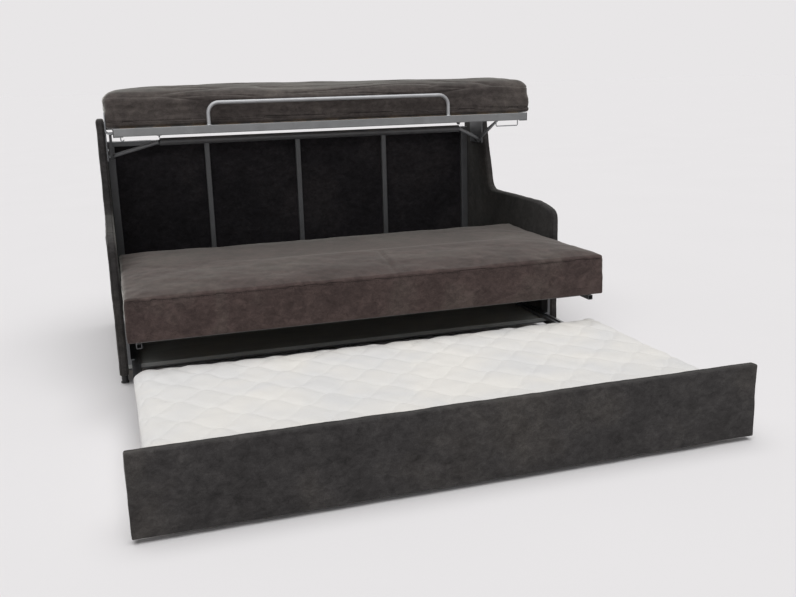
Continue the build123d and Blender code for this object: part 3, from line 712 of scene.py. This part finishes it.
def stitches(name, line, surface, gap, radius, material, body):
    """A row of short raised threads laid on a surface along a line."""
    whole, touch = lay_line(line, surface)
    count = int(whole / (stitch_length + gap))
    points, faces = [], []
    for index in range(count):
        start = (index + 0.5) * whole / count - stitch_length / 2
        first, _ = touch(start)
        _, up = touch(start + stitch_length / 2)
        last, _ = touch(start + stitch_length)
        run = last - first
        if run.length < stitch_length / 4:
            continue
        side = run.normalized().cross(up).normalized()
        base = len(points)
        for ring in range(stitch_rings):
            share = ring / (stitch_rings - 1)
            arch = math.sin(math.pi * share)
            thickness = radius * (stitch_tip + (1 - stitch_tip) * arch)
            middle = first.lerp(last, share) + up * (radius * stitch_arch * arch)
            points += round_section(middle, side, up, thickness, stitch_sides)
        for ring in range(stitch_rings - 1):
            near = base + ring * stitch_sides
            faces += section_faces(near, near + stitch_sides, stitch_sides)
        end = base + (stitch_rings - 1) * stitch_sides
        faces.append([base + turn for turn in reversed(range(stitch_sides))])
        faces.append([end + turn for turn in range(stitch_sides)])
    piece = make_piece(name, points, faces, material)
    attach(piece, body)


def seam_line(name, line, surface, body):
    """A closed sewn line: a thin dark cord, partly sunk in a surface."""
    whole, touch = lay_line(line, surface)
    count = int(whole / seam_step)
    laid = [touch(index * whole / count) for index in range(count)]
    spots = [place - normal * (seam_sink * seam_radius) for place, normal in laid]
    points, faces = [], []
    for index in range(count):
        run = (spots[(index + 1) % count] - spots[index - 1]).normalized()
        side = run.cross(laid[index][1]).normalized()
        points += round_section(spots[index], side, side.cross(run), seam_radius, seam_sides)
        faces += section_faces(index * seam_sides, (index + 1) % count * seam_sides, seam_sides)
    piece = make_piece(name, points, faces, thread_dark)
    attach(piece, body)


def rim_loop(name, axis, level):
    """The closed line where a plane across one axis cuts the outer skin of a CAD node."""
    copy = bpy.data.objects.new("cut", frame["nodes"][name].data.copy())
    outer_island(copy)
    mesh = bmesh.new()
    mesh.from_mesh(copy.data)
    place, normal = Vector((0, 0, 0)), Vector((0, 0, 0))
    place[axis] = level
    normal[axis] = 1
    cut = bmesh.ops.bisect_plane(
        mesh, geom=mesh.verts[:] + mesh.edges[:] + mesh.faces[:], plane_co=place,
        plane_no=normal, dist=cut_distance,
    )["geom_cut"]
    edges = [item for item in cut if isinstance(item, bmesh.types.BMEdge)]
    first, last = edges[0].verts
    left = set(edges[1:])
    line = [first.co.copy(), last.co.copy()]
    while last is not first:
        step = next((item for item in last.link_edges if item in left), None)
        if step is None:
            break
        left.discard(step)
        last = step.other_vert(last)
        line.append(last.co.copy())
    mesh.free()
    bpy.data.objects.remove(copy)
    return line


def oval_line(low, high, corner, level):
    """A closed rectangle with rounded corners, at one height."""
    middle, half = (low + high) / 2, (high - low) / 2
    flat_half = np.array([half[0], half[1], 1])
    radii = np.array([corner, corner, tiny])
    line = []
    for index in range(oval_points + 1):
        angle = 2 * math.pi * index / oval_points
        x, y = math.cos(angle), math.sin(angle)
        reach = max(abs(x) / half[0], abs(y) / half[1])
        spot = rounded(np.array([[x / reach, y / reach, 0]]), flat_half, radii)[0]
        line.append((middle[0] + spot[0], middle[1] + spot[1], level))
    return line


# Openings that the cushions pass between the side panels and the front posts, as half widths

panel_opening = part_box("side_cover_right")[0][0]
panel_clearance = 1 * MM
post_width = 12 * MM
post_opening = panel_opening - post_width
post_clearance = 0.6 * MM


# Seat cushion

seat_crown = 13 * MM
seat_rise = 17 * MM
seat_swell = 3 * MM
seat_radii = (17 * MM, 17 * MM, 12 * MM)
seat_cell = 15 * MM
seat_rings = 4
seat_seam_drop = 10 * MM
seat_groove_depth = 2.6 * MM
seat_groove_width = 4 * MM
seat_thread_drop = 4.5 * MM
seat_thread_gap = 3.5 * MM
seat_resting_height = 20 * MM
seat_wave_depth = 1.6 * MM
seat_fine_depth = 0.6 * MM
crease_x = 90 * MM
crease_slant = 0.12
crease_reach = 280 * MM
crease_depth = 4.5 * MM
crease_width = 7 * MM
crease_lip_shift = 18 * MM
crease_lip_height = 3 * MM
crease_lip_width = 12 * MM
pucker_drop = 9 * MM
pucker_height = 11 * MM
pucker_depth = 0.9 * MM
pucker_length = 17 * MM
pucker_group = 61 * MM
pucker_fade = 8 * MM
rail_clear_height = 485.5 * MM
rail_clear_start = 140 * MM
rail_clear_run = 120 * MM
rail_clear_rise = 30 * MM
rail_clear_softness = 1.2 * MM


def hold_under_rail(piece):
    """Rounds the top off below the level where the folded rail rests, further forward less."""
    places = get_points(piece)
    ahead = rise(rail_clear_start - places[:, 1], 0, rail_clear_run)
    limit = rail_clear_height + rail_clear_rise * ahead ** 2
    gap = (limit - places[:, 2]) / rail_clear_softness
    places[:, 2] = limit - rail_clear_softness * np.logaddexp(0, gap)
    set_points(piece, places)


def seat_cushion():
    """Seat cushion: crowned box with a seam under its top edge, a crease and soft puckers."""
    low, high = node_box("seat_cushion")
    top = high[2] - seat_crown
    seam = top - seat_seam_drop
    piece = soft_box(
        "seat_cushion_cover", low, [high[0], high[1], top], seat_radii, seat_cell, seat_rings,
        brown_grey, seams=(seam,),
    )
    inflate(piece, cap=6 * MM, looseness=0.006, underside=low[2])
    subdivide(piece)
    rest = get_rest(piece)
    places = get_points(piece)
    share_x, share_y, upper = shares(rest, low, high, top)
    places[:, 2] += seat_rise * (1 - share_x ** 8) * (1 - share_y ** 4) * upper
    places[:, 2] += seat_swell * ripple(rest, 13, 0.55) * upper * (1 - share_y ** 6)
    crease = places[:, 0] - (crease_x + crease_slant * rest[:, 1])
    fade = np.exp(-(rest[:, 1] / crease_reach) ** 4) * upper
    places[:, 2] -= crease_depth * bell(crease, crease_width) * fade
    places[:, 2] += crease_lip_height * bell(crease - crease_lip_shift, crease_lip_width) * fade
    set_points(piece, places)

    over_seam = rest[:, 2] - seam
    off_floor = rise(rest[:, 2], low[2], seat_resting_height)
    amounts = groove(over_seam, seat_groove_width, seat_groove_depth)
    amounts += seat_wave_depth * ripple(rest, 11, 0.17, (0.7, 1, 1.5)) * off_floor
    amounts += seat_fine_depth * ripple(rest, 12, 0.06) * off_floor
    puckers = np.sin(rest[:, 0] / pucker_length) * np.sin(rest[:, 0] / pucker_group + 1)
    near_seam = bell(over_seam + pucker_drop, pucker_height) * (1 - rise(over_seam, 0, pucker_fade))
    amounts += pucker_depth * puckers * near_seam
    push(piece, amounts)
    fill_width(piece, panel_opening - panel_clearance)
    hold_under_rail(piece)
    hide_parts("seat_cushion")
    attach(piece, "seat")

    line = oval_line(low, high, seat_radii[0], seam)
    seam_line("seat_seam", line, piece, "seat")
    line = oval_line(low, high, seat_radii[0], seam - seat_thread_drop)
    stitches("seat_seam_thread", line, piece, seat_thread_gap, thread_radius, thread_dark,
             "seat")


# Upper mattress

bunk_crown = 22 * MM
bunk_rise = 0.85 * bunk_crown
bunk_swell = 3.5 * MM
bunk_radii = (38 * MM, 40 * MM, 30 * MM)
bunk_cell = 14 * MM
bunk_rings = 5
bunk_seam_height = 24 * MM
bunk_groove_depth = 2.2 * MM
bunk_groove_width = 3.5 * MM
bunk_thread_rise = 4.5 * MM
bunk_thread_gap = 4 * MM
bunk_resting_height = 25 * MM
bunk_fold_depth = 7 * MM
bunk_fold_fade = 0.55
bunk_wave_depth = 2.6 * MM
bunk_fine_depth = 1.1 * MM


def bunk_mattress():
    """Upper mattress: loose cover with long level wrinkles and a seam low on its sides."""
    low, high = node_box("bunk_mattress")
    top = high[2] - bunk_crown
    seam = low[2] + bunk_seam_height
    piece = soft_box(
        "bunk_mattress_cover", low, [high[0], high[1], top], bunk_radii, bunk_cell, bunk_rings,
        bunk_grey, seams=(seam,),
    )
    inflate(piece, cap=8 * MM, looseness=0.014, underside=low[2])
    subdivide(piece)
    rest = get_rest(piece)
    places = get_points(piece)
    share_x, share_y, upper = shares(rest, low, high, top)
    places[:, 2] += bunk_rise * (1 - share_x ** 10) * (1 - share_y ** 4) * upper
    places[:, 2] += bunk_swell * ripple(rest, 21, 0.6) * upper
    set_points(piece, places)

    off_floor = rise(rest[:, 2], low[2], bunk_resting_height)
    middle_part = 1 - bunk_fold_fade * share_x ** 3
    folds = 1 - 2 * np.abs(ripple(rest, 23, 0.12, (0.12, 1.0, 2.3)))
    folds = np.clip(folds, 0, 1) ** 4
    soft = bunk_wave_depth * ripple(rest, 25, 0.2, (0.4, 1, 2))
    fine = bunk_fine_depth * ripple(rest, 29, 0.05, (0.25, 1, 2.2))
    amounts = (soft + fine - bunk_fold_depth * folds * middle_part) * off_floor
    amounts += groove(rest[:, 2] - seam, bunk_groove_width, bunk_groove_depth)
    push(piece, amounts)
    fill_width(piece, panel_opening - panel_clearance)
    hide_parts("bunk_mattress")
    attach(piece, "bunk")

    line = oval_line(low, high, bunk_radii[1], seam)
    seam_line("bunk_seam", line, piece, "bunk")
    line = oval_line(low, high, bunk_radii[1], seam + bunk_thread_rise)
    stitches("bunk_seam_thread", line, piece, bunk_thread_gap, thread_radius, thread_dark,
             "bunk")


# Lower mattress

trundle_crown = 7 * MM
trundle_radii = (58 * MM, 58 * MM, 22 * MM)
trundle_cell = 14 * MM
trundle_rings = 5
trundle_seam_height = 58 * MM
trundle_groove_depth = 1.6 * MM
trundle_groove_width = 3 * MM
trundle_thread_rise = 3 * MM
trundle_thread_corner = 60 * MM
trundle_thread_gap = 4 * MM
trundle_thread_radius = 0.6 * MM
trundle_resting_height = 20 * MM
trundle_tug_depth = 1.6 * MM
trundle_wave_depth = 1 * MM
trundle_front_sink = 2 * MM
quilt_length = 190 * MM
quilt_width = 92 * MM
quilt_depth = 6.5 * MM
quilt_shoulder = 13 * MM
quilt_edge_tilt = 0.55
quilt_edge_fade = 0.4


def quilt_lines(x, y):
    """Distance to the nearest of the curved quilting lines that meet in pointed ovals."""
    swing = quilt_width / 2
    turn = 2 * math.pi / quilt_length
    best = np.full(len(x), 1.0)
    low_row = math.floor(y.min() / quilt_width) - 1
    high_row = math.ceil(y.max() / quilt_width) + 1
    for row in range(low_row, high_row + 1):
        side = 1 if row % 2 else -1
        line = row * quilt_width + side * swing * np.sin(turn * x)
        slope = swing * turn * np.cos(turn * x)
        best = np.minimum(best, np.abs(y - line) / np.sqrt(1 + slope ** 2))
    return best


def hold_front(piece, limit):
    """Keeps every point behind a level, so that little of it sinks into the padded front."""
    places = get_points(piece)
    places[:, 1] = np.maximum(places[:, 1], limit)
    set_points(piece, places)


def trundle_mattress():
    """Lower mattress: white, quilted on top in pointed ovals, with rounded corners."""
    low, high = node_box("trundle_mattress")
    top = high[2] - trundle_crown
    seam = low[2] + trundle_seam_height
    piece = soft_box(
        "trundle_mattress_cover", low, [high[0], high[1], top], trundle_radii, trundle_cell,
        trundle_rings, white, seams=(seam,),
    )
    inflate(piece, cap=7 * MM, looseness=0.008, underside=low[2])
    subdivide(piece)
    rest = get_rest(piece)
    topside = rise(get_normals(piece)[:, 2], quilt_edge_tilt, quilt_edge_fade)
    lines = quilt_lines(rest[:, 0], rest[:, 1])
    off_floor = rise(rest[:, 2], low[2], trundle_resting_height)
    amounts = quilt_depth * (0.5 - np.exp(-lines / quilt_shoulder)) * topside
    amounts += trundle_tug_depth * ripple(rest, 41, 0.09) * topside
    amounts += trundle_wave_depth * ripple(rest, 43, 0.2, (0.6, 0.6, 1)) * off_floor
    amounts += groove(rest[:, 2] - seam, trundle_groove_width, trundle_groove_depth) * (1 - topside)
    push(piece, amounts)
    fill_width(piece, post_opening - post_clearance)
    hold_front(piece, low[1] - trundle_front_sink)
    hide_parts("trundle_mattress")
    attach(piece, "trundle")

    line = oval_line(low, high, trundle_thread_corner, seam + trundle_thread_rise)
    stitches("trundle_seam_thread", line, piece, trundle_thread_gap, trundle_thread_radius,
             white, "trundle")


# Padded panels

panel_puff = 2.5 * MM
panel_rings = 3
panel_wave_depth = 0.7 * MM
panel_wave_length = 0.12
fine_wave_depth = 0.4 * MM
fine_wave_length = 0.05
side_wave_depth = 0.8 * MM
side_wave_length = 0.15
side_voxel = 6 * MM
side_smoothing = 4
side_puff = 0.6 * MM
side_seam_inset = 7 * MM
side_seeds = {"left": 61, "right": 67}
back_seed = 71
back_radii = (8 * MM, 8 * MM, 8 * MM)
back_cell = 20 * MM
back_seam_inset = 8 * MM
front_seed = 73
front_radii = (6 * MM, 8 * MM, 6 * MM)
front_cell = 14 * MM
front_seam_inset = 9 * MM
front_rear_trim = 1.2 * MM


def side_cover(side):
    """Padded side panel: the arm and wing outline, remeshed, puffed and softened."""
    node = f"side_cover_{side}"
    source = frame["nodes"][node]
    piece = bpy.data.objects.new(f"{node}_fabric", source.data.copy())
    scene.collection.objects.link(piece)
    piece.matrix_world = source.matrix_world.copy()
    piece.data.name = f"{node}_fabric"
    piece.data.materials.clear()
    piece.data.materials.append(charcoal)
    outer_island(piece)
    grid = piece.modifiers.new("Remesh", "REMESH")
    grid.mode = "VOXEL"
    grid.voxel_size = side_voxel
    apply_modifier(piece, grid)
    piece.data.polygons.foreach_set("use_smooth", [True] * len(piece.data.polygons))
    relax(piece, side_smoothing)
    low, high = node_box(node)
    middle, half = (low + high) / 2, (high - low) / 2
    places = get_points(piece)
    seed = side_seeds[side]
    amounts = side_wave_depth * ripple(places, seed, side_wave_length)
    amounts += fine_wave_depth * ripple(places, seed + 1, fine_wave_length)
    amounts += side_puff * np.abs(get_normals(piece)[:, 0]) ** 2
    push(piece, amounts)
    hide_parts(node)
    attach(piece, "carcass")
    for edge in (-1, 1):
        face = "outer" if edge * middle[0] > 0 else "inner"
        line = rim_loop(node, 0, middle[0] + edge * (half[0] - side_seam_inset))
        seam_line(f"side_seam_{side}_{face}", line, piece, "carcass")


def flat_cover(node, name, body, material, radii, cell, seed, seam_inset, rear_trim=None):
    """A padded rectangular panel: fabric drawn over a board, with a seam round its rear rim."""
    low, high = node_box(node)
    piece = soft_box(name, low, high, radii, cell, panel_rings, material)
    subdivide(piece)
    rest = get_rest(piece)
    middle, half = (low + high) / 2, (high - low) / 2
    share = np.abs(rest - middle) / half
    flat = (1 - share[:, 0] ** 8) * (1 - share[:, 2] ** 8)
    amounts = panel_puff * flat * share[:, 1] ** 4
    amounts += panel_wave_depth * ripple(rest, seed, panel_wave_length)
    amounts += fine_wave_depth * ripple(rest, seed + 1, fine_wave_length)
    push(piece, amounts)
    if rear_trim is not None:
        places = get_points(piece)
        places[:, 1] = np.minimum(places[:, 1], high[1] - rear_trim)
        set_points(piece, places)
    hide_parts(node)
    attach(piece, body)
    line = rim_loop(node, 1, high[1] - seam_inset)
    seam_line(f"{name}_seam", line, piece, body)


# Light and surroundings

backdrop_color = srgb(232, 230, 231)
floor_reach = 150.0
ambient_strength = 0.16
overhead_strength = 2.52
overhead_softness = math.radians(70)
overhead_lean = math.radians(9)
overhead_turn = math.radians(-12)
fill_strength = 0.55
fill_softness = math.radians(40)
fill_lean = math.radians(72)
fill_turn = math.radians(-14)


def surroundings():
    """Pale floor that runs out to the horizon, under a dim even sky of the same tone."""
    world = bpy.data.worlds.new("world")
    scene.world = world
    world.use_nodes = True
    tree = world.node_tree
    shown = tree.nodes["Background"]
    shown.inputs["Color"].default_value = backdrop_color
    shown.inputs["Strength"].default_value = 1.0
    ambient = tree.nodes.new("ShaderNodeBackground")
    ambient.inputs["Color"].default_value = (1, 1, 1, 1)
    ambient.inputs["Strength"].default_value = ambient_strength
    rays = tree.nodes.new("ShaderNodeLightPath")
    seen = rays.outputs["Is Camera Ray"]
    for kind in ("Is Glossy Ray", "Is Transmission Ray"):
        either = tree.nodes.new("ShaderNodeMath")
        either.operation = "MAXIMUM"
        tree.links.new(seen, either.inputs[0])
        tree.links.new(rays.outputs[kind], either.inputs[1])
        seen = either.outputs[0]
    mixed = tree.nodes.new("ShaderNodeMixShader")
    tree.links.new(seen, mixed.inputs["Fac"])
    tree.links.new(ambient.outputs[0], mixed.inputs[1])
    tree.links.new(shown.outputs[0], mixed.inputs[2])
    tree.links.new(mixed.outputs[0], tree.nodes["World Output"].inputs["Surface"])

    reach = floor_reach
    mesh = bpy.data.meshes.new("floor")
    mesh.from_pydata(
        [(-reach, -reach, 0), (reach, -reach, 0), (reach, reach, 0), (-reach, reach, 0)],
        [], [[0, 1, 2, 3]],
    )
    floor = bpy.data.objects.new("floor", mesh)
    scene.collection.objects.link(floor)
    paint = Paint("floor_paper")
    tone = paint.noise(1.2, 2, 0.4)
    paint.color(paint.ramp(tone, [(0.3, scaled(backdrop_color, 0.99)), (0.7, backdrop_color)]))
    mesh.materials.append(paint.set(Roughness=1.0, Specular_IOR_Level=0.0))


def sun(name, strength, softness, lean, turn):
    """A soft far light above the object, leaned to the front and turned about the vertical."""
    data = bpy.data.lights.new(name, "SUN")
    data.energy = strength
    data.angle = softness
    item = bpy.data.objects.new(name, data)
    item.rotation_euler = (lean, 0, turn)
    scene.collection.objects.link(item)


# The whole scene

scene.view_settings.view_transform = "Standard"
place_camera()
paint_frame()
seat_cushion()
bunk_mattress()
trundle_mattress()
side_cover("left")
side_cover("right")
# The back panel takes the darkened charcoal suede, painted shade for the shadow under the bunk.
flat_cover("back_cover", "back_panel_fabric", "carcass", charcoal_painted_shade, back_radii, back_cell,
           back_seed, back_seam_inset)
flat_cover("trundle_front_cover", "trundle_front_fabric", "trundle", charcoal, front_radii,
           front_cell, front_seed, front_seam_inset, front_rear_trim)
surroundings()
sun("overhead", overhead_strength, overhead_softness, overhead_lean, overhead_turn)
sun("front_fill", fill_strength, fill_softness, fill_lean, fill_turn)
